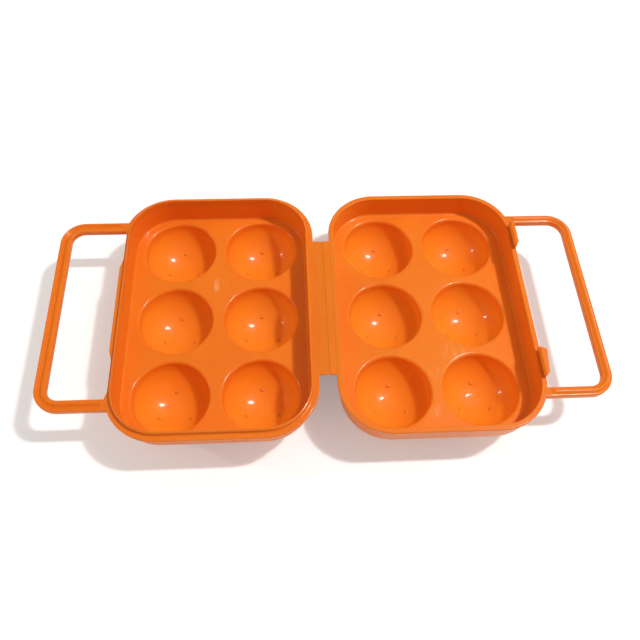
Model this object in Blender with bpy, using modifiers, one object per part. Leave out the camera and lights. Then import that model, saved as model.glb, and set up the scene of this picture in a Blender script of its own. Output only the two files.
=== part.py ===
"""Egg carrier box: two hinged trays with six egg cups each, carrying handles and snap latches.

The box lies open and flat on its cups. X = 0 is the fold line of the hinge strap, the base tray
lies on -X and the lid tray on +X, +Y is the rear and z = 0 is the plane the cups stand on.
"""
import math

import bmesh
import bpy
from mathutils import Matrix, Vector

MM = 0.001

# Cups
cup_columns = 2
cup_rows = 3
cup_column_pitch = 49.0 * MM
cup_row_pitch = 48.0 * MM
cup_mouth_radius = 20.9 * MM
cup_lip_radius = 0.7 * MM
cup_depth = 20.0 * MM
cup_foot_radius = 4.7 * MM
cup_wall = 1.4 * MM
cup_turn_steps = 24
cup_hollow_steps = 5
cup_shell_steps = 4
cup_lip_steps = 1

# Egg pips, three to a cup
pip_count = 3
pip_circle_radius = 10.5 * MM
pip_root_radius = 0.85 * MM
pip_tip_radius = 0.5 * MM
pip_height = 0.7 * MM
pip_sides = 6

# Trays, seen from above
tray_width = 112.4 * MM
tray_depth = 155.0 * MM
tray_corner_radius = 29.0 * MM
tray_corner_steps = 8

# Trays, in section
tray_floor_drop = 15.0 * MM
tray_wall = 1.5 * MM
tray_wall_draft = 0.4 * MM
tray_floor_thickness = 1.4 * MM
tray_floor_radius = 1.6 * MM
tray_floor_steps = 2
flange_thickness = 2.0 * MM
flange_edge_chamfer = 0.35 * MM
lid_land_width = 3.0 * MM

# Tongue round the mouth of the base tray
tongue_thickness = 1.0 * MM
tongue_height = 3.0 * MM
tongue_chamfer = 0.4 * MM
tongue_clearance = 0.3 * MM

# Hinge strap
strap_width = 9.6 * MM
strap_length = 87.0 * MM
leaf_thickness = 1.2 * MM
leaf_fold_thickness = 0.45 * MM
leaf_fold_slope_width = 0.9 * MM
fold_gap = 0.4 * MM

# Handles
handle_reach = 36.4 * MM
handle_span = 120.0 * MM
handle_corner_radius = 13.5 * MM
handle_corner_steps = 7
handle_edge_chamfer = 0.6 * MM
base_handle_width = 6.5 * MM
base_handle_thickness = 3.8 * MM
lid_handle_width = 5.5 * MM
lid_handle_thickness = 4.0 * MM
handle_flare = 1.0 * MM
handle_flare_length = 2.2 * MM
handle_root_overlap = 6.0 * MM

# Rib on the lid handle and the groove that takes it
rib_width = 1.6 * MM
rib_height = 1.2 * MM
rib_side_clearance = 0.4 * MM
groove_depth = 1.6 * MM

# Snap latches
latch_length = 16.5 * MM
latch_rear_handle_gap = 3.0 * MM
latch_front_handle_gap = 5.2 * MM
latch_thickness = 2.0 * MM
latch_stand_out = 0.6 * MM
latch_barb_reach = 1.0 * MM
latch_barb_height = 2.0 * MM
latch_barb_lead = 1.1 * MM
latch_barb_clearance = 0.3 * MM
latch_end_chamfer_length = 2.5 * MM
latch_end_chamfer_width = 1.4 * MM
base_notch_slope_length = 8.0 * MM

# Gaps that neighbours keep, and how far a cutter runs past what it cuts
seat_gap = 0.3 * MM
closing_gap = 0.3 * MM
overrun = 2.0 * MM
weld_distance = 0.005 * MM

# Colour and finish of the moulded plastic
plastic_colour = (0.87, 0.19, 0.012, 1.0)
plastic_roughness = 0.32
plastic_metallic = 0.0

# Heights worked out from the sizes above
floor_top = cup_depth + cup_wall
rim_top = floor_top + tray_floor_drop
hinge_height = rim_top + closing_gap / 2
flange_bottom = rim_top - flange_thickness

# Places in plan worked out from the sizes above
tray_inner_edge = strap_width / 2
tray_outer_edge = tray_inner_edge + tray_width
tray_middle = tray_inner_edge + tray_width / 2
tongue_inset = lid_land_width + tongue_clearance
base_cavity_inset = tongue_inset + tongue_thickness
base_wall_inset = base_cavity_inset - tray_wall
lid_wall_inset = lid_land_width - tray_wall
handle_outer_x = tray_outer_edge + handle_reach
rib_line_inset = lid_handle_width / 2
latch_notch_depth = latch_thickness - latch_stand_out + seat_gap
latch_touching_y = handle_span / 2 - lid_handle_width - latch_length / 2
latch_rear_y = latch_touching_y - latch_rear_handle_gap
latch_front_y = latch_front_handle_gap - latch_touching_y
base_handle_inner_y = handle_span / 2 - base_handle_width

BASE_SIDE = -1
LID_SIDE = 1


def clear_scene():
    """Remove every object that the scene starts with."""
    for item in list(bpy.data.objects):
        bpy.data.objects.remove(item, do_unlink=True)


def make_collection(name, parent=None):
    """Make a collection below the parent collection or the scene."""
    collection = bpy.data.collections.new(name)
    holder = parent if parent else bpy.context.scene.collection
    holder.children.link(collection)
    return collection


def moulded_plastic(name):
    """The glossy plastic of one moulded piece."""
    material = bpy.data.materials.new(name)
    material.use_nodes = True
    shader = material.node_tree.nodes["Principled BSDF"]
    shader.inputs["Base Color"].default_value = plastic_colour
    shader.inputs["Roughness"].default_value = plastic_roughness
    shader.inputs["Metallic"].default_value = plastic_metallic
    return material


def add_object(name, mesh, collection):
    """Put a mesh in the scene as an object of the given collection."""
    item = bpy.data.objects.new(name, mesh)
    collection.objects.link(item)
    return item


def mark_as_cutter(item):
    """Show a helper solid as wires only."""
    item.hide_render = True
    item.display_type = "WIRE"
    return item


def mesh_from_bmesh(name, form):
    """Turn a bmesh into mesh data with its faces pointing out."""
    bmesh.ops.recalc_face_normals(form, faces=form.faces)
    mesh = bpy.data.meshes.new(name)
    form.to_mesh(mesh)
    form.free()
    return mesh


def corner_arc(centre_x, centre_y, radius, start, end, steps):
    """Points along an arc, with the angles in quarter turns."""
    points = []
    for step in range(steps + 1):
        angle = (start + (end - start) * step / steps) * math.pi / 2
        points.append((centre_x + radius * math.cos(angle), centre_y + radius * math.sin(angle)))
    return points


def tray_outline(side, inset):
    """The tray's rounded outline, moved inwards by the inset."""
    half_x = tray_width / 2 - inset
    half_y = tray_depth / 2 - inset
    radius = tray_corner_radius - inset
    points = []
    for quarter, (sign_x, sign_y) in enumerate(((1, 1), (-1, 1), (-1, -1), (1, -1))):
        centre_x = side * tray_middle + sign_x * (half_x - radius)
        centre_y = sign_y * (half_y - radius)
        points += corner_arc(centre_x, centre_y, radius, quarter, quarter + 1, tray_corner_steps)
    return points


def lofted_tray(name, side, sections, collection):
    """A closed solid through the tray outline at each (inset, height)."""
    form = bmesh.new()
    loops = []
    for inset, height in sections:
        loops.append([form.verts.new((x, y, height)) for x, y in tray_outline(side, inset)])
    for upper, lower in zip(loops, loops[1:]):
        count = len(upper)
        for index in range(count):
            after = (index + 1) % count
            form.faces.new((upper[index], upper[after], lower[after], lower[index]))
    form.faces.new(loops[0])
    form.faces.new(loops[-1])
    return add_object(name, mesh_from_bmesh(name, form), collection)


def turned_solid(name, profile, collection, place):
    """A solid turned about Z from a profile of (radius, height) points, top to bottom."""
    mesh = bpy.data.meshes.new(name)
    verts = [(radius, 0, height) for radius, height in profile]
    edges = [(index, index + 1) for index in range(len(profile) - 1)]
    mesh.from_pydata(verts, edges, [])
    item = add_object(name, mesh, collection)
    item.location = place
    screw = item.modifiers.new("turn", "SCREW")
    screw.axis = "Z"
    screw.steps = cup_turn_steps
    screw.render_steps = cup_turn_steps
    screw.use_merge_vertices = True
    screw.merge_threshold = weld_distance
    return item


def outline_solid(name, outline, half_thickness, place, turn, collection):
    """A flat solid from a closed outline, extruded to both sides of its plane."""
    curve = bpy.data.curves.new(name, "CURVE")
    curve.dimensions = "2D"
    curve.fill_mode = "BOTH"
    curve.extrude = half_thickness
    spline = curve.splines.new("POLY")
    spline.points.add(len(outline) - 1)
    for point, (x, y) in zip(spline.points, outline):
        point.co = (x, y, 0, 1)
    spline.use_cyclic_u = True
    guide = add_object(name + "_curve", curve, collection)
    guide.location = place
    guide.rotation_euler = turn
    bpy.context.view_layer.update()
    seen = guide.evaluated_get(bpy.context.evaluated_depsgraph_get())
    mesh = bpy.data.meshes.new_from_object(seen)
    mesh.name = name
    form = bmesh.new()
    form.from_mesh(mesh)
    bmesh.ops.remove_doubles(form, verts=form.verts, dist=weld_distance)
    bmesh.ops.dissolve_limit(form, angle_limit=math.radians(0.5), verts=form.verts,
                             edges=form.edges)
    bmesh.ops.recalc_face_normals(form, faces=form.faces)
    form.to_mesh(mesh)
    form.free()
    item = add_object(name, mesh, collection)
    item.matrix_world = guide.matrix_world.copy()
    bpy.data.objects.remove(guide, do_unlink=True)
    return item


def combine(item, operation, operand):
    """Add a Boolean modifier with an object or a whole collection as its operand."""
    modifier = item.modifiers.new(operation.lower(), "BOOLEAN")
    modifier.operation = operation
    modifier.solver = "EXACT"
    if isinstance(operand, bpy.types.Collection):
        modifier.operand_type = "COLLECTION"
        modifier.collection = operand
    else:
        modifier.object = operand


def chamfer_edges(item, width):
    """Break the sharp edges of a flat solid."""
    bevel = item.modifiers.new("edges", "BEVEL")
    bevel.width = width
    bevel.segments = 1
    bevel.limit_method = "ANGLE"
    bevel.angle_limit = math.radians(60)


def cup_places(side):
    """The middle of each cup of one tray."""
    places = []
    for column in range(cup_columns):
        x = side * tray_middle + (column - (cup_columns - 1) / 2) * cup_column_pitch
        for row in range(cup_rows):
            places.append((x, (row - (cup_rows - 1) / 2) * cup_row_pitch))
    return places


def bowl_height():
    """Half height of the ellipse that the cup's bowl follows inside."""
    foot_share = cup_foot_radius / cup_mouth_radius
    return (cup_depth - cup_lip_radius) / math.sqrt(1 - foot_share ** 2)


def cup_hollow_profile():
    """The inside of a cup from above its mouth to its foot, with heights from the floor."""
    mouth = cup_mouth_radius + cup_lip_radius
    profile = [(0, overrun), (mouth, overrun)]
    for step in range(cup_lip_steps + 1):
        angle = math.pi / 2 * step / cup_lip_steps
        profile.append((mouth - cup_lip_radius * math.sin(angle),
                        cup_lip_radius * (math.cos(angle) - 1)))
    last = math.acos(cup_foot_radius / cup_mouth_radius)
    for step in range(1, cup_hollow_steps + 1):
        angle = last * step / cup_hollow_steps
        profile.append((cup_mouth_radius * math.cos(angle),
                        -cup_lip_radius - bowl_height() * math.sin(angle)))
    profile.append((0, -cup_depth))
    return profile


def cup_shell_profile():
    """The outside of a cup from inside the floor down to its flat foot."""
    radius = cup_mouth_radius + cup_wall
    height = bowl_height() + cup_wall
    last = math.asin((cup_depth + cup_wall - cup_lip_radius) / height)
    profile = [(0, -cup_lip_radius)]
    for step in range(cup_shell_steps + 1):
        angle = last * step / cup_shell_steps
        profile.append((radius * math.cos(angle), -cup_lip_radius - height * math.sin(angle)))
    profile.append((0, -cup_depth - cup_wall))
    return profile


def add_pip(name, cup_x, cup_y, turn, collection):
    """One egg pip, square to the wall of its cup."""
    angle = math.acos(pip_circle_radius / cup_mouth_radius)
    height = floor_top - cup_lip_radius - bowl_height() * math.sin(angle)
    slope = Vector((math.cos(angle) / cup_mouth_radius, 0, -math.sin(angle) / bowl_height()))
    normal = Matrix.Rotation(turn, 3, "Z") @ -slope.normalized()
    seat = Vector((cup_x + pip_circle_radius * math.cos(turn),
                   cup_y + pip_circle_radius * math.sin(turn), height))
    form = bmesh.new()
    lean = normal.to_track_quat("Z", "Y").to_matrix().to_4x4()
    bmesh.ops.create_cone(form, cap_ends=True, segments=pip_sides, radius1=pip_root_radius,
                          radius2=pip_tip_radius, depth=pip_height * 2,
                          matrix=Matrix.Translation(seat) @ lean)
    return mark_as_cutter(add_object(name, mesh_from_bmesh(name, form), collection))


def floor_corner(inset, steps):
    """Insets and heights down the inside of a wall and round into the floor."""
    sections = []
    for step in range(steps + 1):
        angle = math.pi / 2 * step / steps
        sections.append((inset + tray_wall_draft + tray_floor_radius * (1 - math.cos(angle)),
                         floor_top + tray_floor_radius * (1 - math.sin(angle))))
    return sections


def make_tray(name, side, wall_inset, cavity_inset, mouth_height, pivot, parts, helpers):
    """One tray: flange, drafted wall, floor, six cups with pips, and latch notches."""
    chamfer = flange_edge_chamfer
    underside = floor_top - tray_floor_thickness
    outer_radius = tray_floor_radius + tray_wall
    tray = lofted_tray(name, side, [
        (chamfer, rim_top),
        (0, rim_top - chamfer),
        (0, flange_bottom + chamfer),
        (chamfer, flange_bottom),
        (wall_inset, flange_bottom),
        (wall_inset + tray_wall_draft, underside + outer_radius),
        (wall_inset + tray_wall_draft + outer_radius * (1 - math.sqrt(0.5)),
         underside + outer_radius * (1 - math.sqrt(0.5))),
        (wall_inset + tray_wall_draft + outer_radius, underside),
    ], parts)
    place_on_pivot(tray, pivot)

    added = make_collection(name + "_added", helpers)
    removed = make_collection(name + "_removed", helpers)
    pips = make_collection(name + "_pips", helpers)
    for number, (x, y) in enumerate(cup_places(side), start=1):
        shell = turned_solid(f"{name}_cup_shell_{number}", cup_shell_profile(), added,
                             (x, y, floor_top))
        hollow = turned_solid(f"{name}_cup_hollow_{number}", cup_hollow_profile(), removed,
                              (x, y, floor_top))
        mark_as_cutter(shell)
        mark_as_cutter(hollow)
        for pip in range(pip_count):
            turn = math.pi / 2 + 2 * math.pi * pip / pip_count
            add_pip(f"{name}_pip_{number}_{pip + 1}", x, y, turn, pips)

    if mouth_height > rim_top:
        tongue = lofted_tray(name + "_tongue", side, [
            (tongue_inset + tongue_chamfer, mouth_height),
            (tongue_inset, mouth_height - tongue_chamfer),
            (tongue_inset, rim_top - flange_thickness / 2),
        ], added)
        mark_as_cutter(tongue)
    cavity = lofted_tray(name + "_cavity", side, [
        (cavity_inset, mouth_height + overrun),
        (cavity_inset, rim_top),
    ] + floor_corner(cavity_inset, tray_floor_steps), removed)
    mark_as_cutter(cavity)
    for end, middle_y in (("rear", latch_rear_y), ("front", latch_front_y)):
        notch = latch_notch(f"{name}_notch_{end}", side, middle_y, removed)
        mark_as_cutter(notch)

    combine(tray, "UNION", added)
    combine(tray, "DIFFERENCE", removed)
    combine(tray, "UNION", pips)
    return tray


def latch_notch(name, side, middle_y, collection):
    """The gap in a flange that a latch stands in, or passes through with sloping ends."""
    half_length = latch_length / 2 + seat_gap
    floor_x = tray_outer_edge - latch_notch_depth
    beyond_x = tray_outer_edge + overrun
    inner_slope = 0
    outer_slope = 0
    if side == BASE_SIDE:
        inner_slope = base_notch_slope_length
        outer_slope = base_handle_inner_y - half_length - abs(middle_y)
    run = 1 + overrun / latch_notch_depth
    end = math.copysign(1, middle_y)
    outline = [(side * x, middle_y + end * y) for x, y in (
        (floor_x, -half_length),
        (beyond_x, -half_length - inner_slope * run),
        (beyond_x, half_length + outer_slope * run),
        (floor_x, half_length),
    )]
    half_height = flange_thickness / 2 + overrun
    return outline_solid(name, outline, half_height, (0, 0, rim_top - flange_thickness / 2),
                         (0, 0, 0), collection)


def handle_band(side, outer_inset, width, flare):
    """The closed plan outline of a U-shaped band inside the handle's outer edge."""
    outer_x = handle_outer_x - outer_inset
    outer_y = handle_span / 2 - outer_inset
    outer_radius = handle_corner_radius - outer_inset
    inner_x = outer_x - width
    inner_y = outer_y - width
    inner_radius = outer_radius - width
    root_x = tray_outer_edge - handle_root_overlap
    flare_x = tray_outer_edge + handle_flare_length
    outer = [(root_x, -outer_y - flare), (tray_outer_edge, -outer_y - flare),
             (flare_x, -outer_y)]
    outer += corner_arc(outer_x - outer_radius, outer_radius - outer_y, outer_radius,
                        3, 4, handle_corner_steps)
    outer += corner_arc(outer_x - outer_radius, outer_y - outer_radius, outer_radius,
                        0, 1, handle_corner_steps)
    outer += [(flare_x, outer_y), (tray_outer_edge, outer_y + flare),
              (root_x, outer_y + flare)]
    inner = [(root_x, inner_y - flare), (tray_outer_edge, inner_y - flare),
             (flare_x, inner_y)]
    inner += corner_arc(inner_x - inner_radius, inner_y - inner_radius, inner_radius,
                        1, 0, handle_corner_steps)
    inner += corner_arc(inner_x - inner_radius, inner_radius - inner_y, inner_radius,
                        4, 3, handle_corner_steps)
    inner += [(flare_x, -inner_y), (tray_outer_edge, -inner_y + flare),
              (root_x, -inner_y + flare)]
    return [(side * x, y) for x, y in outer + inner]


def make_handle(name, side, width, thickness, parts, helpers):
    """A carrying handle, flush with the rim and cut to the tray's rounded edge."""
    handle = outline_solid(name, handle_band(side, 0, width, handle_flare), thickness / 2,
                           (0, 0, rim_top - thickness / 2), (0, 0, 0), parts)
    chamfer_edges(handle, handle_edge_chamfer)
    if side == LID_SIDE:
        band = handle_band(side, rib_line_inset - rib_width / 2, rib_width, 0)
        half_height = (rib_height + thickness / 2) / 2
        rib = outline_solid(name + "_rib", band, half_height,
                            (0, 0, rim_top + rib_height - half_height), (0, 0, 0), helpers)
        combine(handle, "UNION", mark_as_cutter(rib))
    else:
        groove_width = rib_width + 2 * rib_side_clearance
        band = handle_band(side, rib_line_inset - groove_width / 2, groove_width, 0)
        half_height = (groove_depth + overrun) / 2
        groove = outline_solid(name + "_groove", band, half_height,
                               (0, 0, rim_top - groove_depth + half_height), (0, 0, 0), helpers)
        combine(handle, "DIFFERENCE", mark_as_cutter(groove))
    clearance = lofted_tray(name + "_clearance", side, [
        (-seat_gap, rim_top + rib_height + overrun),
        (-seat_gap, rim_top - thickness - overrun),
    ], helpers)
    combine(handle, "DIFFERENCE", mark_as_cutter(clearance))
    return handle


def make_hinge_leaf(name, side, parts):
    """One half of the hinge strap, thinned towards the fold line."""
    fold_x = fold_gap / 2
    edge_x = tray_inner_edge - seat_gap
    profile = [
        (fold_x, 0),
        (edge_x, 0),
        (edge_x, -leaf_thickness),
        (fold_x + leaf_fold_slope_width, -leaf_thickness),
        (fold_x, -leaf_fold_thickness),
    ]
    return outline_solid(name, [(side * x, z) for x, z in profile], strap_length / 2,
                         (0, 0, rim_top), (math.pi / 2, 0, 0), parts)


def make_latch(name, middle_y, parts, helpers):
    """A snap latch: a springy plate in the lid's notch with a barb that faces the tray."""
    outer_face = latch_stand_out
    inner_face = latch_stand_out - latch_thickness
    barb_face = inner_face - latch_barb_reach
    barb_bottom = closing_gap + flange_thickness + latch_barb_clearance
    barb_top = barb_bottom + latch_barb_height
    profile = [
        (inner_face, -flange_thickness),
        (outer_face, -flange_thickness),
        (outer_face, barb_top),
        (inner_face, barb_top),
        (barb_face, barb_top - latch_barb_lead),
        (barb_face, barb_bottom),
        (inner_face, barb_bottom),
    ]
    middle = (tray_outer_edge, middle_y, rim_top)
    latch = outline_solid(name, profile, latch_length / 2, middle, (math.pi / 2, 0, 0), parts)
    shoulder = outer_face - latch_end_chamfer_width
    half_length = latch_length / 2
    plan = [
        (barb_face - overrun, -half_length - overrun),
        (shoulder, -half_length - overrun),
        (shoulder, -half_length),
        (outer_face, -half_length + latch_end_chamfer_length),
        (outer_face + overrun, -half_length + latch_end_chamfer_length),
        (outer_face + overrun, half_length - latch_end_chamfer_length),
        (outer_face, half_length - latch_end_chamfer_length),
        (shoulder, half_length),
        (shoulder, half_length + overrun),
        (barb_face - overrun, half_length + overrun),
    ]
    keep = outline_solid(name + "_plan", plan, barb_top + flange_thickness, middle,
                         (0, 0, 0), helpers)
    combine(latch, "INTERSECT", mark_as_cutter(keep))
    return latch


def place_on_pivot(item, pivot):
    """Move an object's origin to its joint axis and leave its shape where it is."""
    item.data.transform(Matrix.Translation(-Vector(pivot)) @ item.matrix_world)
    item.matrix_world = Matrix.Translation(pivot)


def shade(item):
    """Smooth the round faces and keep the sharp edges."""
    item.data.shade_smooth()
    item.data.set_sharp_from_angle(angle=math.radians(35))


def hang_on(item, pivot, place):
    """Make an object follow a pivot empty and leave it where it is."""
    item.parent = pivot
    item.matrix_parent_inverse = Matrix.Translation(-Vector(place))


def build():
    """Make the whole carrier."""
    clear_scene()
    parts = make_collection("egg_carrier_box")
    helpers = make_collection("egg_carrier_box_cutters")
    lid_axis = (0, 0, hinge_height)
    latch_axis_x = tray_outer_edge + latch_stand_out - latch_thickness / 2

    base_handle = make_handle("base_handle", BASE_SIDE, base_handle_width,
                              base_handle_thickness, parts, helpers)
    lid_handle = make_handle("lid_handle", LID_SIDE, lid_handle_width, lid_handle_thickness,
                             parts, helpers)
    base_leaf = make_hinge_leaf("base_hinge_leaf", BASE_SIDE, parts)
    lid_leaf = make_hinge_leaf("lid_hinge_leaf", LID_SIDE, parts)
    rear_latch = make_latch("latch_clip_rear", latch_rear_y, parts, helpers)
    front_latch = make_latch("latch_clip_front", latch_front_y, parts, helpers)
    place_on_pivot(lid_handle, lid_axis)
    place_on_pivot(lid_leaf, lid_axis)
    place_on_pivot(rear_latch, (latch_axis_x, latch_rear_y, flange_bottom))
    place_on_pivot(front_latch, (latch_axis_x, latch_front_y, flange_bottom))

    base_tray = make_tray("base_tray", BASE_SIDE, base_wall_inset, base_cavity_inset,
                          rim_top + tongue_height, (0, 0, 0), parts, helpers)
    lid_tray = make_tray("lid_tray", LID_SIDE, lid_wall_inset, lid_land_width, rim_top,
                         lid_axis, parts, helpers)

    base_pieces = (base_tray, base_handle, base_leaf)
    lid_pieces = (lid_tray, lid_handle, lid_leaf, rear_latch, front_latch)
    for item in base_pieces + lid_pieces:
        item.data.materials.append(moulded_plastic(item.name + "_plastic"))
        shade(item)

    lid_pivot = bpy.data.objects.new("lid_pivot", None)
    lid_pivot.location = lid_axis
    parts.objects.link(lid_pivot)
    for item in lid_pieces:
        hang_on(item, lid_pivot, lid_axis)


build()
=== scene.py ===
"""Looks of the egg carrier box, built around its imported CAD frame.

Lengths are in metres. X = 0 is the fold line of the strap, the base tray lies on -X and the lid
tray on +X, +Y is the rear and z = 0 is the floor.
"""
import math

import bmesh
import bpy
from mathutils import Matrix, Vector


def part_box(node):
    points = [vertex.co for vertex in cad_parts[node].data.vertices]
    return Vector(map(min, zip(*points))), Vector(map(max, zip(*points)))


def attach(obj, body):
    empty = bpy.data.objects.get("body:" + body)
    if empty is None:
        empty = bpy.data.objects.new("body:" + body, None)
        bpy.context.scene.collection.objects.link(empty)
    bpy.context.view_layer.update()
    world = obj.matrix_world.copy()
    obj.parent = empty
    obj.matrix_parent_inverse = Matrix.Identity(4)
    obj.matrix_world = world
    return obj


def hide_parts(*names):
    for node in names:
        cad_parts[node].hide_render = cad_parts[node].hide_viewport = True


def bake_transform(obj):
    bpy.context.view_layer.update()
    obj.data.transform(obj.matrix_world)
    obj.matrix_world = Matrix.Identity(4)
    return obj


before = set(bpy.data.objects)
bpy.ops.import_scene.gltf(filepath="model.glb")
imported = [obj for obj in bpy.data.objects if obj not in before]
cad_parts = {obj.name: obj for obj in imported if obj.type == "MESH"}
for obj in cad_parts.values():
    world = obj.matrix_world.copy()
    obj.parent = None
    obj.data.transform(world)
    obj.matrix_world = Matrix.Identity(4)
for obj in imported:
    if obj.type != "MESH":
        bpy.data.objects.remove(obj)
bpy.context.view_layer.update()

MM = 0.001
BASE_SIDE = -1
LID_SIDE = 1

# Cups
cup_column_pitch = 49.0 * MM
cup_row_pitch = 48.0 * MM
cup_mouth_radius = 20.9 * MM
cup_lip_width = 1.7 * MM
cup_lip_drop = 1.9 * MM
cup_depth = 20.0 * MM
cup_foot_radius = 4.7 * MM
cup_wall = 1.4 * MM
cup_turn_steps = 96
cup_lip_steps = 8
cup_bowl_steps = 26
cup_foot_steps = 5
cup_foot_ease = 0.2 * MM

# Egg pips, three to a cup, each a short ridge across the slope of the bowl
pip_circle_radius = 10.5 * MM
pip_half_length = 1.5 * MM
pip_half_width = 0.95 * MM
pip_height = 0.5 * MM
pip_turn_steps = 20
pip_dome_steps = 6

# Trays
tray_corner_radius = 29.0 * MM
tray_corner_steps = 24
tray_side_steps = 72
tray_wall = 1.5 * MM
tray_wall_draft = 0.4 * MM
tray_floor_drop = 15.0 * MM
tray_floor_thickness = 1.4 * MM
floor_fillet = 1.5 * MM
underside_fillet = 1.6 * MM
flange_thickness = 2.0 * MM
flange_edge_radius = 0.7 * MM
rim_edge_radius = 0.4 * MM
lid_land_width = 3.0 * MM
tongue_thickness = 1.0 * MM
tongue_height = 3.0 * MM
tongue_edge_radius = 0.12 * MM
tongue_lead_radius = 0.85 * MM
tongue_foot_radius = 0.8 * MM
tongue_clearance = 0.3 * MM
fillet_steps = 5

# Strap and fold
strap_length = 87.0 * MM
leaf_thickness = 1.2 * MM
leaf_root = 1.0 * MM
leaf_step = 0.12 * MM
fold_half_width = 0.9 * MM
fold_dip = 0.28 * MM
web_thickness = 0.4 * MM
web_overlap = 0.5 * MM

# Handles
handle_span = 120.0 * MM
handle_corner_radius = 13.5 * MM
handle_corner_steps = 20
handle_edge_radius = 0.8 * MM
handle_root_depth = 3.6 * MM
ridge_fade_steps = 6
base_handle_width = 6.5 * MM
base_handle_thickness = 3.8 * MM
lid_handle_width = 5.5 * MM
lid_handle_thickness = 4.0 * MM
handle_top_drop = 0.03 * MM
rib_half_width = 1.9 * MM
rib_height = 1.1 * MM
groove_half_width = 1.8 * MM
groove_depth = 1.3 * MM
ridge_fade_length = 3.0 * MM
ridge_steps = 12

# Snap latches
latch_length = 16.5 * MM
latch_rear_handle_gap = 3.0 * MM
latch_front_handle_gap = 5.2 * MM
latch_rear_reach = 0.7 * MM
latch_front_lean = 1.4 * MM
latch_thickness = 2.0 * MM
latch_stand_out = 0.6 * MM
latch_barb_reach = 1.0 * MM
latch_barb_height = 2.0 * MM
latch_barb_lead = 1.1 * MM
latch_barb_clearance = 0.3 * MM
latch_end_chamfer_length = 2.5 * MM
latch_end_chamfer_width = 1.4 * MM
latch_edge_radius = 0.35 * MM
base_notch_slope_length = 8.0 * MM
seat_gap = 0.3 * MM
closing_gap = 0.3 * MM

# Places taken from the frame
base_low, base_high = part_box("base_tray")
lid_low, lid_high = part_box("lid_tray")
rim_top = lid_high.z
tray_width = lid_high.x - lid_low.x
tray_depth = lid_high.y - lid_low.y
tray_inner_edge = lid_low.x
tray_outer_edge = lid_high.x
tray_middle = (tray_inner_edge + tray_outer_edge) / 2
handle_outer_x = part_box("lid_handle")[1].x
floor_top = rim_top - tray_floor_drop
floor_underside = floor_top - tray_floor_thickness
flange_bottom = rim_top - flange_thickness
tongue_inset = lid_land_width + tongue_clearance
base_cavity_inset = tongue_inset + tongue_thickness
base_wall_inset = base_cavity_inset - tray_wall
lid_wall_inset = lid_land_width - tray_wall
latch_touching_y = handle_span / 2 - lid_handle_width - latch_length / 2
latch_rear_y = latch_touching_y - latch_rear_handle_gap
latch_front_y = latch_front_handle_gap - latch_touching_y
latch_notch_depth = latch_thickness - latch_stand_out + seat_gap
base_handle_inner_y = handle_span / 2 - base_handle_width
rib_line_inset = lid_handle_width / 2


# Mesh helpers

def rounded(corners, closed):
    """A polyline with its corners rounded, from (a, b, radius, wear) corners."""
    count = len(corners)
    points = []
    for index, (a, b, radius, wear) in enumerate(corners):
        if radius == 0 or (not closed and index in (0, count - 1)):
            points.append((a, b, wear))
            continue
        corner = Vector((a, b))
        back = Vector(corners[index - 1][:2]) - corner
        ahead = Vector(corners[(index + 1) % count][:2]) - corner
        back.normalize()
        ahead.normalize()
        half = back.angle(ahead) / 2
        centre = corner + (back + ahead).normalized() * radius / math.sin(half)
        first = corner + back * radius / math.tan(half) - centre
        last = corner + ahead * radius / math.tan(half) - centre
        turn = math.pi - 2 * half
        for step in range(fillet_steps + 1):
            share = step / fillet_steps
            spoke = (first * math.sin((1 - share) * turn) + last * math.sin(share * turn))
            place = centre + spoke / math.sin(turn)
            points.append((place.x, place.y, wear))
    return points


def new_form():
    """An empty bmesh with a layer for how worn each point is."""
    form = bmesh.new()
    return form, form.verts.layers.float.new("wear")


def add_ring(form, layer, points, wear=0.0):
    """Vertices at the given points."""
    ring = []
    for point in points:
        vert = form.verts.new(point)
        vert[layer] = wear
        ring.append(vert)
    return ring


def skin(form, rings, closed=True):
    """Quads between neighbouring rings of vertices."""
    for upper, lower in zip(rings, rings[1:]):
        count = len(upper)
        for index in range(count if closed else count - 1):
            after = (index + 1) % count
            form.faces.new((upper[index], upper[after], lower[after], lower[index]))


def ring_edges(form, ring):
    """The edges along a closed ring of vertices."""
    return [form.edges.get((ring[index - 1], ring[index])) for index in range(len(ring))]


def add_piece(name, form, body, nodes=(), angle=40):
    """Finish a form as an object that rides on a body and stands for CAD nodes."""
    bmesh.ops.recalc_face_normals(form, faces=form.faces)
    mesh = bpy.data.meshes.new(name)
    form.to_mesh(mesh)
    form.free()
    mesh.shade_smooth()
    mesh.set_sharp_from_angle(angle=math.radians(angle))
    piece = bpy.data.objects.new(name, mesh)
    bpy.context.scene.collection.objects.link(piece)
    if body:
        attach(piece, body)
    if nodes:
        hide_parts(*nodes)
    return piece


def even_normals(piece):
    """Let the large flat faces set the normals that they share with narrow fillets."""
    even = piece.modifiers.new("even_normals", "WEIGHTED_NORMAL")
    even.mode = "FACE_AREA_WITH_ANGLE"
    even.keep_sharp = True


# Trays

def ease(share):
    """A smooth step from 0 to 1."""
    share = min(max(share, 0.0), 1.0)
    return share * share * (3 - 2 * share)


def notch_depth(y):
    """How deep the base flange's outer edge is cut at y to let the latches pass."""
    depth = 0.0
    half_length = latch_length / 2 + seat_gap
    for middle in (latch_rear_y, latch_front_y):
        along = (y - middle) * math.copysign(1, middle)
        towards_middle = ease((along + half_length) / base_notch_slope_length + 1)
        gap = base_handle_inner_y - half_length - abs(middle)
        towards_handle = ease((half_length - along) / gap + 1)
        depth = max(depth, latch_notch_depth * min(towards_middle, towards_handle))
    return depth


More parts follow.
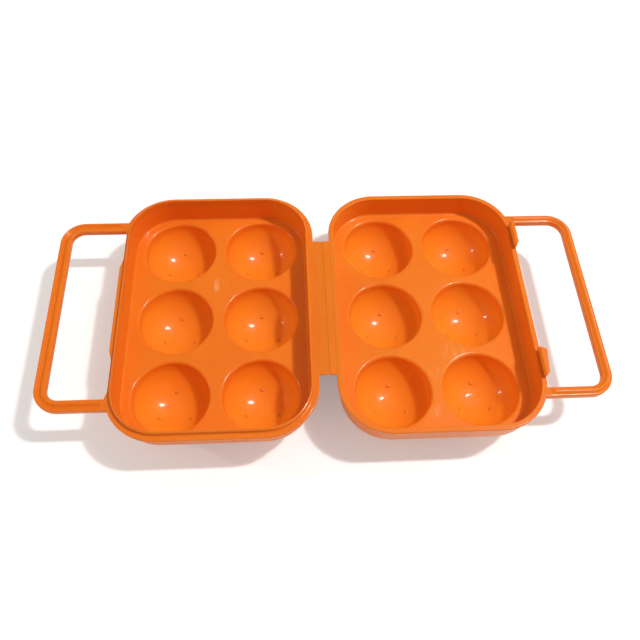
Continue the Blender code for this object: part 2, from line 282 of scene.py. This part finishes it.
def tray_outline(side, inset):
    """The tray's rounded outline, moved inwards by the inset, with the base's latch notches."""
    half_x = tray_width / 2
    half_y = tray_depth / 2
    radius = tray_corner_radius
    stations = []
    for quarter, (sign_x, sign_y) in enumerate(((1, 1), (-1, 1), (-1, -1), (1, -1))):
        centre = (sign_x * (half_x - radius), sign_y * (half_y - radius))
        for step in range(tray_corner_steps + 1):
            angle = (quarter + step / tray_corner_steps) * math.pi / 2
            stations.append((*centre, radius, math.cos(angle), math.sin(angle)))
        if sign_x * side == 1 and sign_y * side == -1:
            for step in range(1, tray_side_steps):
                y = centre[1] * (1 - 2 * step / tray_side_steps)
                stations.append((centre[0], y, radius, side, 0))
    points = []
    for x, y, reach, along_x, along_y in stations:
        shift = inset
        if side == BASE_SIDE and along_x < 0 and inset < base_wall_inset:
            depth = notch_depth(y + reach * along_y)
            shift = depth + inset * (base_wall_inset - depth) / base_wall_inset
        points.append((side * tray_middle + x + (reach - shift) * along_x,
                       y + (reach - shift) * along_y))
    return points


def cup_places(side):
    """The middle of each cup of one tray."""
    return [(side * tray_middle + column * cup_column_pitch / 2, row * cup_row_pitch)
            for column in (-1, 1) for row in (-1, 0, 1)]


def bowl_height():
    """Half height of the ellipse that the bowl follows inside."""
    foot_share = cup_foot_radius / cup_mouth_radius
    return (cup_depth - cup_lip_drop) / math.sqrt(1 - foot_share ** 2)


def bowl_depth(radius):
    """How far below the tray floor the bowl lies inside, at a radius within its ellipse."""
    return cup_lip_drop + bowl_height() * math.sqrt(1 - (radius / cup_mouth_radius) ** 2)


def cup_inside():
    """Radius, height and wear down the inside of a cup, from the floor to near its middle."""
    profile = []
    for step in range(cup_lip_steps + 1):
        angle = math.pi / 2 * step / cup_lip_steps
        profile.append((cup_mouth_radius + cup_lip_width * (1 - math.sin(angle)),
                        floor_top - cup_lip_drop * (1 - math.cos(angle)), 0.4))
    last = math.acos(cup_foot_radius / cup_mouth_radius)
    for step in range(1, cup_bowl_steps + 1):
        radius = cup_mouth_radius * math.cos(last * step / cup_bowl_steps)
        profile.append((radius, floor_top - bowl_depth(radius), 0.0))
    for step in range(1, cup_foot_steps):
        share = 1 - step / cup_foot_steps
        radius = cup_foot_radius * share
        depth = bowl_depth(radius) - cup_foot_ease * ease(2 * (1 - share))
        profile.append((radius, floor_top - depth, 0.0))
    return profile


def cup_outside():
    """Radius, height and wear down the outside of a cup, from the floor to its flat foot."""
    radius = cup_mouth_radius + cup_wall
    height = bowl_height() + cup_wall
    top = floor_top - cup_lip_drop
    first = math.asin((top - floor_underside) / height)
    last = math.asin(top / height)
    profile = []
    for step in range(cup_bowl_steps + 1):
        angle = first + (last - first) * step / cup_bowl_steps
        profile.append((radius * math.cos(angle), top - height * math.sin(angle), 0.0))
    radius, height, wear = profile[-1]
    profile[-1] = (radius, height, 1.0)
    return profile


def add_bowl(form, layer, profile, x, y):
    """Turn a cup profile about its middle, close its foot and give its top ring."""
    rings = []
    for radius, height, wear in profile:
        rings.append(add_ring(form, layer, [
            (x + radius * math.cos(2 * math.pi * step / cup_turn_steps),
             y + radius * math.sin(2 * math.pi * step / cup_turn_steps), height)
            for step in range(cup_turn_steps)], wear))
    skin(form, rings)
    form.faces.new(rings[-1])
    return rings[0]


def rim_corners(side):
    """The tray's section as (inset, height, radius, wear), from the floor over the rim and
    down to the underside."""
    edge = rim_edge_radius
    if side == BASE_SIDE:
        mouth = rim_top + tongue_height
        cavity = base_cavity_inset
        wall = base_wall_inset
        over_the_rim = [
            (cavity, mouth, tongue_edge_radius, 1.0),
            (tongue_inset, mouth, tongue_lead_radius, 1.0),
            (tongue_inset, rim_top, tongue_foot_radius, 0.0),
        ]
    else:
        cavity = lid_land_width
        wall = lid_wall_inset
        over_the_rim = [(cavity, rim_top, edge, 1.0)]
    drafted = cavity + tray_wall_draft
    return [
        (drafted + 2 * floor_fillet, floor_top, 0, 0.0),
        (drafted, floor_top, floor_fillet, 0.0),
    ] + over_the_rim + [
        (0, rim_top, flange_edge_radius, 1.0),
        (0, flange_bottom, flange_edge_radius, 0.7),
        (wall, flange_bottom, edge / 2, 0.0),
        (wall + tray_wall_draft, floor_underside, underside_fillet, 0.3),
        (wall + tray_wall_draft + 2 * underside_fillet, floor_underside, 0, 0.0),
    ]


def make_tray(name, side, body, node):
    """One tray as a closed moulding: floor, cups, wall, rim and underside."""
    form, layer = new_form()
    rings = []
    profile = rounded(rim_corners(side), closed=False)[1:-1]
    for inset, height, wear in profile:
        outline = [(x, y, height) for x, y in tray_outline(side, inset)]
        rings.append(add_ring(form, layer, outline, wear))
    skin(form, rings)
    floor_rings = [rings[0]]
    underside_rings = [rings[-1]]
    for x, y in cup_places(side):
        floor_rings.append(add_bowl(form, layer, cup_inside(), x, y))
        underside_rings.append(add_bowl(form, layer, cup_outside(), x, y))
    for loops in (floor_rings, underside_rings):
        edges = [edge for ring in loops for edge in ring_edges(form, ring)]
        bmesh.ops.triangle_fill(form, edges=edges, use_beauty=True, normal=(0, 0, 1))
    piece = add_piece(name, form, body, [node])
    even_normals(piece)
    return piece


def make_pips(name, side, body):
    """The egg pips of one tray, short rounded ridges square to the wall of their cup."""
    form, layer = new_form()
    share = pip_circle_radius / cup_mouth_radius
    height = floor_top - bowl_depth(pip_circle_radius)
    rise = bowl_height() / cup_mouth_radius * share / math.sqrt(1 - share ** 2)
    for x, y in cup_places(side):
        for pip in range(3):
            turn = Matrix.Rotation(math.pi / 2 + 2 * math.pi * pip / 3, 4, "Z")
            lean = (Matrix.Translation((x, y, height)) @ turn
                    @ Matrix.Translation((pip_circle_radius, 0, 0))
                    @ Matrix.Rotation(-math.atan(rise), 4, "Y"))
            rings = []
            for lift in range(-1, pip_dome_steps):
                angle = max(lift, 0) / pip_dome_steps * math.pi / 2
                z = -pip_height if lift < 0 else pip_height * math.sin(angle)
                rings.append(add_ring(form, layer, [
                    lean @ Vector((pip_half_width * math.cos(angle) * math.cos(spin),
                                   pip_half_length * math.cos(angle) * math.sin(spin), z))
                    for spin in (2 * math.pi * step / pip_turn_steps
                                 for step in range(pip_turn_steps))]))
            skin(form, rings)
            form.faces.new(rings[0])
            form.faces.new(rings[-1])
    return add_piece(name, form, body, angle=60)


# Strap

def make_leaf(name, side, body, node):
    """One half of the strap, thinned towards the fold line."""
    top = rim_top - leaf_step
    root = tray_inner_edge + leaf_root
    corners = [
        (root, top, 0, 0.0),
        (fold_half_width + fold_dip, top, fold_dip / 2, 0.3),
        (fold_half_width, top - fold_dip, 0, 0.2),
        (fold_half_width, top - fold_dip - web_thickness, 0, 0.2),
        (fold_half_width + leaf_thickness / 2, top - leaf_thickness, fold_dip, 0.2),
        (root, top - leaf_thickness, 0, 0.0),
    ]
    section = rounded(corners, closed=True)
    form, layer = new_form()
    rings = []
    edge = rim_edge_radius
    half = strap_length / 2
    middle = top - leaf_thickness / 2
    stations = [(-half, 1), (-half + edge * 0.3, 0.45), (-half + edge, 0), (half - edge, 0),
                (half - edge * 0.3, 0.45), (half, 1)]
    for y, pinch in stations:
        keep = 1 - pinch * 2 * edge * 0.6 / leaf_thickness
        rings.append([])
        for x, z, wear in section:
            point = (side * x, y, middle + (z - middle) * keep)
            rings[-1] += add_ring(form, layer, [point], max(wear, 0.8 * pinch))
    skin(form, rings)
    form.faces.new(rings[0])
    form.faces.new(rings[-1])
    piece = add_piece(name, form, body, [node])
    even_normals(piece)
    return piece


def make_web():
    """The thin web that joins the leaves."""
    top = rim_top - leaf_step - fold_dip
    reach = fold_half_width + web_overlap
    across = 24
    along = 30
    form, layer = new_form()
    rings = []
    half = strap_length / 2 - rim_edge_radius / 2
    for index in range(along + 1):
        y = -half + 2 * half * index / along
        upper = [(-reach + 2 * reach * step / across, y, top) for step in range(across + 1)]
        lower = [(x, y, top - web_thickness) for x, y, z in reversed(upper)]
        rings.append(add_ring(form, layer, upper + lower, 0.5))
    skin(form, rings)
    form.faces.new(rings[0])
    form.faces.new(rings[-1])
    web = add_piece("hinge_web", form, None)
    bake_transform(web)
    return web


# Handles

def handle_stations(side):
    """Outer edge point, inward direction and share of the ridge along a U handle."""
    half = handle_span / 2
    radius = handle_corner_radius
    corner_x = handle_outer_x - radius
    rows = [(tray_outer_edge - handle_root_depth, half, 0, -1, 0)]
    for step in range(ridge_fade_steps + 1):
        share = step / ridge_fade_steps
        rows.append((tray_outer_edge + ridge_fade_length * share, half, 0, -1, ease(share)))
    for step in range(handle_corner_steps + 1):
        angle = math.pi / 2 * (1 - step / handle_corner_steps)
        rows.append((corner_x + radius * math.cos(angle), half - radius + radius * math.sin(angle),
                     -math.cos(angle), -math.sin(angle), 1))
    rows += [(x, -y, nx, -ny, rise) for x, y, nx, ny, rise in reversed(rows)]
    return [(side * x, y, side * nx, ny, rise) for x, y, nx, ny, rise in rows]


def handle_section(side):
    """A handle's section as (offset from the outer edge, height, wear, ridge height there)."""
    top = rim_top - handle_top_drop
    if side == BASE_SIDE:
        width, thickness = base_handle_width, base_handle_thickness
        reach, lift = groove_half_width, -groove_depth
    else:
        width, thickness = lid_handle_width, lid_handle_thickness
        reach, lift = rib_half_width, rib_height
    bottom = rim_top - thickness
    corners = rounded([(0, bottom, handle_edge_radius, 0.5), (0, top, handle_edge_radius, 0.9),
                       (width, top, handle_edge_radius, 0.9),
                       (width, bottom, handle_edge_radius, 0.5)], closed=True)
    corners = [(*corner, 0.0) for corner in corners]
    ridge = []
    for step in range(ridge_steps + 1):
        share = 2 * step / ridge_steps - 1
        swell = (1 + math.cos(math.pi * share)) / 2
        ridge.append((rib_line_inset + reach * share, top, 0.8 * swell if lift > 0 else 0.0,
                      lift * swell))
    count = 2 * (fillet_steps + 1)
    return corners[:count] + ridge + corners[count:]


def make_handle(name, side, body, node):
    """A U-shaped carrying handle swept from its section."""
    section = handle_section(side)
    form, layer = new_form()
    rings = []
    for x, y, nx, ny, rise in handle_stations(side):
        ring = []
        for u, z, wear, lift in section:
            point = (x + nx * u, y + ny * u, z + lift * rise)
            ring += add_ring(form, layer, [point], wear)
        rings.append(ring)
    skin(form, rings)
    form.faces.new(rings[0])
    form.faces.new(rings[-1])
    piece = add_piece(name, form, body, [node])
    even_normals(piece)
    return piece


# Latches

def make_latch(name, middle_y, outer_face, body, node):
    """A snap latch: a springy plate with a barb that faces the tray. Its outer face runs
    through the given (y from the middle, distance out from the rim) points."""
    outer = latch_stand_out
    inner = outer - latch_thickness
    barb = inner - latch_barb_reach
    barb_bottom = closing_gap + flange_thickness + latch_barb_clearance
    barb_top = barb_bottom + latch_barb_height
    small = latch_edge_radius
    corners = [
        (inner, -flange_thickness, 0, 0.0),
        (outer, -flange_thickness, small, 0.6),
        (outer, barb_top, small, 1.0),
        (inner, barb_top, small, 0.8),
        (barb, barb_top - latch_barb_lead, small, 0.8),
        (barb, barb_bottom, small, 0.8),
        (inner, barb_bottom, small, 0.0),
    ]
    section = rounded(corners, closed=True)
    form, layer = new_form()
    rings = []
    for y, face in outer_face:
        stretch = (face - inner) / (outer - inner)
        ring = []
        for x, z, wear in section:
            x = inner + (x - inner) * (stretch if x > inner else 1)
            ring += add_ring(form, layer, [(tray_outer_edge + x, middle_y + y, rim_top + z)], wear)
        rings.append(ring)
    skin(form, rings)
    form.faces.new(rings[0])
    form.faces.new(rings[-1])
    piece = add_piece(name, form, body, [node])
    even_normals(piece)
    return piece


# Plastic

plastic_deep = (0.85, 0.172, 0.010, 1)
plastic_colour = (0.88, 0.203, 0.011, 1)
plastic_pale = (0.90, 0.235, 0.012, 1)
# Painted light: the paler, yellower colour deep inside the cups.
plastic_cup_painted_light = (0.97, 0.275, 0.017, 1)
# Painted shade: the darker colour that the rims are mixed towards.
plastic_rim_painted_shade = (0.76, 0.185, 0.010, 1)
plastic_worn = (0.86, 0.30, 0.07, 1)
plastic_scuffed = (0.95, 0.50, 0.24, 1)
# Painted shade: the dark colour that the pips are mixed towards.
plastic_painted_shade = (0.42, 0.060, 0.008, 1)
# Depths below the tray floor over which the cups' painted light comes in.
cup_light_start = 1.0 * MM
cup_light_end = 7.0 * MM
scuff_places = (
    (0.0740, -0.0245, 0.0085),
    (0.0560, -0.0600, 0.0060),
    (0.0615, -0.0370, 0.0050),
    (-0.0610, 0.0235, 0.0060),
)


class Nodes:
    """Short calls for building the node tree of a material or a world."""

    def __init__(self, owner, shader="Principled BSDF"):
        owner.use_nodes = True
        self.tree = owner.node_tree
        self.shader = self.tree.nodes[shader]

    def add(self, kind, settings=(), **inputs):
        node = self.tree.nodes.new(kind)
        for key, value in dict(settings).items():
            setattr(node, key, value)
        for key, value in inputs.items():
            self.feed(node.inputs[key.replace("_", " ")], value)
        return node

    def feed(self, socket, value):
        if isinstance(value, bpy.types.NodeSocket):
            self.tree.links.new(value, socket)
        else:
            socket.default_value = value

    def math(self, operation, first, second=0.0, clamp=False):
        node = self.tree.nodes.new("ShaderNodeMath")
        node.operation = operation
        node.use_clamp = clamp
        self.feed(node.inputs[0], first)
        self.feed(node.inputs[1], second)
        return node.outputs[0]

    def span(self, value, low, high, first=0.0, last=1.0):
        node = self.tree.nodes.new("ShaderNodeMapRange")
        for socket, item in zip(node.inputs, (value, low, high, first, last)):
            self.feed(socket, item)
        return node.outputs[0]

    def mix(self, share, first, second):
        node = self.tree.nodes.new("ShaderNodeMix")
        node.data_type = "RGBA"
        self.feed(node.inputs["Factor"], share)
        self.feed(node.inputs[6], first)
        self.feed(node.inputs[7], second)
        return node.outputs[2]

    def noise(self, place, scale, detail=2.0, roughness=0.5, stretch=None, turn=0.0):
        if stretch:
            place = self.add("ShaderNodeMapping", Vector=place, Scale=stretch,
                             Rotation=(0, 0, turn)).outputs[0]
        node = self.add("ShaderNodeTexNoise", Vector=place, Scale=scale, Detail=detail,
                        Roughness=roughness)
        return node.outputs["Fac"]


def moulded_plastic(name, unshaded):
    """Glossy orange polypropylene with flow marks, worn edges and scuffs. It has painted shade on
    the rims and painted light deep in the cups, and the second argument, 1 for none, mixes the
    whole material towards a painted dark shade."""
    material = bpy.data.materials.new(name)
    n = Nodes(material)
    place = n.add("ShaderNodeTexCoord").outputs["Object"]
    wear = n.add("ShaderNodeAttribute", {"attribute_name": "wear"}).outputs["Fac"]

    cloud = n.span(n.noise(place, 20, 3), 0.3, 0.7)
    flow = n.span(n.noise(place, 10, 4, 0.6, stretch=(1.0, 6.0, 3.0)), 0.35, 0.65)
    mottle = n.noise(place, 190, 3, 0.6)
    colour = n.mix(cloud, plastic_deep, plastic_pale)
    colour = n.mix(n.math("MULTIPLY", flow, 0.5), colour, plastic_colour)
    colour = n.mix(n.span(mottle, 0.35, 0.75, 0.0, 0.12), colour, plastic_deep)

    height = n.add("ShaderNodeSeparateXYZ", Vector=place).outputs["Z"]
    # Painted shade: from the flange's underside up, the colour is darkened 40 % towards the rim
    # shade, for the bounce light that the floors get and the rims don't.
    rim = n.span(height, rim_top - flange_thickness, rim_top - leaf_thickness)
    colour = n.mix(n.math("MULTIPLY", rim, 0.4), colour, plastic_rim_painted_shade)
    # Painted light: from 1 mm to 7 mm below the tray floor the cups are painted lighter and
    # yellower, 85 % at full depth.
    cup_light_mask = n.span(height, floor_top - cup_light_start, floor_top - cup_light_end)
    colour = n.mix(n.math("MULTIPLY", cup_light_mask, 0.85), colour, plastic_cup_painted_light)

    ragged = n.span(n.noise(place, 420, 5, 0.7), 0.45, 0.70)
    worn = n.math("MULTIPLY", wear, ragged, clamp=True)
    colour = n.mix(n.math("MULTIPLY", worn, 0.12), colour, plastic_worn)

    patch = 0.0
    for x, y, size in scuff_places:
        away = n.add("ShaderNodeVectorMath", {"operation": "DISTANCE"})
        n.feed(away.inputs[0], place)
        n.feed(away.inputs[1], (x, y, floor_top))
        patch = n.math("MAXIMUM", patch, n.span(away.outputs["Value"], size, size * 0.35))
    strokes = n.span(n.noise(place, 55, 6, 0.7, stretch=(9.0, 1.0, 1.0), turn=0.6), 0.5, 0.72)
    scuff = n.math("MULTIPLY", patch, strokes, clamp=True)
    colour = n.mix(n.math("MULTIPLY", scuff, 0.85), colour, plastic_scuffed)
    specks = n.span(n.noise(place, 330, 2, 0.5), 0.70, 0.78)
    colour = n.mix(n.math("MULTIPLY", specks, 0.35), colour, plastic_worn)
    # Painted shade: where the second argument is below 1, the whole colour is mixed towards a dark
    # shade; the pips use it.
    colour = n.mix(unshaded, plastic_painted_shade, colour)
    n.feed(n.shader.inputs["Base Color"], colour)

    smears = n.span(n.noise(place, 35, 4, 0.6), 0.3, 0.7, 0.38, 0.48)
    rough = n.math("ADD", smears, n.math("MULTIPLY", scuff, 0.2))
    rough = n.math("ADD", rough, n.math("MULTIPLY", worn, 0.10))
    n.feed(n.shader.inputs["Roughness"], rough)
    n.shader.inputs["IOR"].default_value = 1.49
    n.shader.inputs["Specular IOR Level"].default_value = 0.15
    n.shader.inputs["Coat Weight"].default_value = 0.4
    gloss = n.span(n.noise(place, 45, 4, 0.6), 0.3, 0.7, 0.09, 0.17)
    n.feed(n.shader.inputs["Coat Roughness"], gloss)
    n.shader.inputs["Subsurface Weight"].default_value = 0.35
    n.shader.inputs["Subsurface Radius"].default_value = (1.0, 0.2, 0.1)
    n.shader.inputs["Subsurface Scale"].default_value = 2.0 * MM

    peel = n.noise(place, 700, 2)
    wave = n.noise(place, 60, 2)
    scratch = n.noise(place, 90, 5, 0.75, stretch=(14.0, 1.0, 1.0), turn=-0.9)
    bump = n.add("ShaderNodeBump", Strength=0.2, Distance=0.015 * MM, Height=peel)
    bump = n.add("ShaderNodeBump", Strength=0.4, Distance=0.12 * MM, Height=wave,
                 Normal=bump.outputs[0])
    bump = n.add("ShaderNodeBump", Strength=0.15, Distance=0.03 * MM,
                 Height=n.span(scratch, 0.45, 0.55), Normal=bump.outputs[0])
    n.feed(n.shader.inputs["Normal"], bump.outputs[0])
    n.feed(n.shader.inputs["Coat Normal"], bump.outputs[0])
    return material


# The carrier

latch_half = latch_length / 2
latch_shoulder = latch_stand_out - latch_end_chamfer_width
latch_rear_face = [(-latch_half, latch_shoulder),
                   (-latch_half + latch_end_chamfer_length, latch_stand_out),
                   (latch_half + latch_rear_reach, latch_stand_out)]
latch_front_face = [(-latch_half, latch_shoulder),
                    (-latch_half + latch_end_chamfer_width, latch_stand_out),
                    (latch_half - latch_end_chamfer_width, latch_stand_out + latch_front_lean),
                    (latch_half, latch_shoulder)]
pieces = [
    make_tray("base_tray_moulding", BASE_SIDE, "base", "base_tray"),
    make_tray("lid_tray_moulding", LID_SIDE, "lid", "lid_tray"),
    make_handle("base_handle_bar", BASE_SIDE, "base", "base_handle"),
    make_handle("lid_handle_bar", LID_SIDE, "lid", "lid_handle"),
    make_leaf("base_strap_leaf", BASE_SIDE, "base", "base_hinge_leaf"),
    make_leaf("lid_strap_leaf", LID_SIDE, "lid", "lid_hinge_leaf"),
    make_web(),
    make_latch("latch_clip_rear_tab", latch_rear_y, latch_rear_face,
               "latch_rear", "latch_clip_rear"),
    make_latch("latch_clip_front_tab", latch_front_y, latch_front_face,
               "latch_front", "latch_clip_front"),
]
pips = [
    make_pips("base_egg_pips", BASE_SIDE, "base"),
    make_pips("lid_egg_pips", LID_SIDE, "lid"),
]
plastic = moulded_plastic("orange_plastic", 1.0)
# The pips are painted 25 % towards the painted shade colour.
pip_plastic = moulded_plastic("orange_plastic_pips_painted_shade", 0.75)
for piece in pieces:
    piece.data.materials.append(plastic)
for piece in pips:
    piece.data.materials.append(pip_plastic)

# Floor, light and camera

floor_size = 8.0
floor_mesh = bpy.data.meshes.new("floor")
floor_form = bmesh.new()
bmesh.ops.create_grid(floor_form, x_segments=1, y_segments=1, size=floor_size / 2)
floor_form.to_mesh(floor_mesh)
floor_form.free()
floor = bpy.data.objects.new("floor", floor_mesh)
bpy.context.scene.collection.objects.link(floor)

paper = bpy.data.materials.new("white_floor")
n = Nodes(paper)
n.shader.inputs["Base Color"].default_value = (0.86, 0.86, 0.86, 1)
n.shader.inputs["Roughness"].default_value = 0.9
n.shader.inputs["Specular IOR Level"].default_value = 0.2
seen = n.add("ShaderNodeLightPath").outputs
lift = n.math("MAXIMUM", seen["Is Camera Ray"], seen["Is Glossy Ray"])
lift = n.math("MAXIMUM", lift, seen["Is Transmission Ray"])
n.shader.inputs["Emission Color"].default_value = (1, 1, 1, 1)
n.feed(n.shader.inputs["Emission Strength"], n.math("MULTIPLY", lift, 0.25))
below = n.add("ShaderNodeNewGeometry").outputs["Backfacing"]
clear = n.add("ShaderNodeBsdfTransparent").outputs[0]
through = n.add("ShaderNodeMixShader")
n.feed(through.inputs[0], n.math("MULTIPLY", below, seen["Is Camera Ray"]))
n.feed(through.inputs[1], n.shader.outputs[0])
n.feed(through.inputs[2], clear)
n.feed(n.tree.nodes["Material Output"].inputs["Surface"], through.outputs[0])
floor_mesh.materials.append(paper)

sky_fill = 0.46
sky_reflected = 0.08
sky_seen = 1.0
sky_colour = (1, 0.94, 0.88, 1)
world = bpy.data.worlds.new("studio")
bpy.context.scene.world = world
n = Nodes(world, "Background")
ray = n.add("ShaderNodeLightPath").outputs
strength = n.span(ray["Is Glossy Ray"], 0, 1, sky_fill, sky_reflected)
n.feed(n.shader.inputs["Strength"], n.span(ray["Is Camera Ray"], 0, 1, strength, sky_seen))
n.shader.inputs["Color"].default_value = sky_colour


def add_lamp(name, direction, distance, size, power):
    """A flat lamp, (length, breadth), that shines on the middle of the carrier."""
    lamp = bpy.data.lights.new(name, "AREA")
    lamp.shape = "ELLIPSE"
    lamp.size, lamp.size_y = size
    lamp.energy = power
    holder = bpy.data.objects.new(name, lamp)
    back = Vector(direction).normalized()
    along = Vector((0, 1, 0)).cross(back).normalized()
    holder.matrix_world = Matrix.Translation(back * distance) @ Matrix(
        (along, back.cross(along), back)).transposed().to_4x4()
    bpy.context.scene.collection.objects.link(holder)


key_direction = (0.46, 0.045, 0.885)
key_distance = 1.6
key_size = (0.10, 0.07)
key_power = 12.0
strip_distance = 1.58
strip_size = (0.50, 0.06)
strip_power = 3.6
side_direction = (-0.90, 0.07, 0.43)
side_distance = 1.6
side_size = (0.07, 0.05)
side_power = 3.2
add_lamp("key_lamp", key_direction, key_distance, key_size, key_power)
add_lamp("strip_lamp", key_direction, strip_distance, strip_size, strip_power)
add_lamp("side_lamp", side_direction, side_distance, side_size, side_power)

view_elevation = math.radians(60.96)
view_yaw = math.radians(-5.56)
view_roll = math.radians(3.41)
view_distance = 0.35528
view_target = Vector((-0.00289, -0.01037, rim_top))
picture_focal_share = 638 / 640
sensor_width_in_mm = 36
nearest_seen = 0.01

back = Vector((math.sin(view_yaw) * math.cos(view_elevation),
               -math.cos(view_yaw) * math.cos(view_elevation), math.sin(view_elevation)))
right = (-back).cross(Vector((0, 0, 1))).normalized()
up = right.cross(-back)
tilted_right = right * math.cos(view_roll) + up * math.sin(view_roll)
tilted_up = up * math.cos(view_roll) - right * math.sin(view_roll)
camera_data = bpy.data.cameras.new("camera")
camera_data.sensor_width = sensor_width_in_mm
camera_data.lens = picture_focal_share * sensor_width_in_mm
camera_data.clip_start = nearest_seen
camera = bpy.data.objects.new("camera", camera_data)
camera.matrix_world = Matrix.Translation(view_target + back * view_distance) @ Matrix(
    (tilted_right, tilted_up, back)).transposed().to_4x4()
bpy.context.scene.collection.objects.link(camera)
bpy.context.scene.camera = camera

bpy.context.scene.view_settings.view_transform = "Standard"
